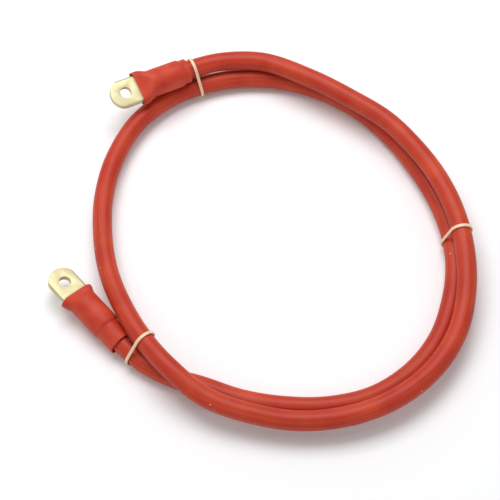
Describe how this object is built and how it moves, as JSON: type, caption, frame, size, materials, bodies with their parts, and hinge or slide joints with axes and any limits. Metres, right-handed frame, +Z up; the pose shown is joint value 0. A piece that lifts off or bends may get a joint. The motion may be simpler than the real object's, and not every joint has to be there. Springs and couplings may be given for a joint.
{
  "type": "battery cable",
  "caption": "Heavy red battery lead wound in a loose coil, with a tinned ring lug under a shrink sleeve at each end and slim cable ties holding the strands.",
  "frame": {"origin": "centre of the underside of the coil's bounding box, on the floor that it lies on", "axes": "+Z up, across the flat coil; the lug of the upper strand lies towards -X and +Y, the lug of the lower strand towards -X"},
  "size_m": [0.3334, 0.34, 0.041],
  "materials": {
    "jacket": "satin red extruded jacket",
    "tinned_copper": "bright tin plate on copper",
    "shrink_sleeve": "matt red shrink tubing",
    "nylon": "natural nylon, slightly see-through"
  },
  "bodies": {
    "root": {"cable": "jacket", "ring_lug_upper": "tinned_copper", "ring_lug_lower": "tinned_copper", "shrink_sleeve_upper": "shrink_sleeve", "shrink_sleeve_lower": "shrink_sleeve", "cable_tie_top": "nylon", "cable_tie_right": "nylon", "cable_tie_left": "nylon"}
  },
  "joints": []
}
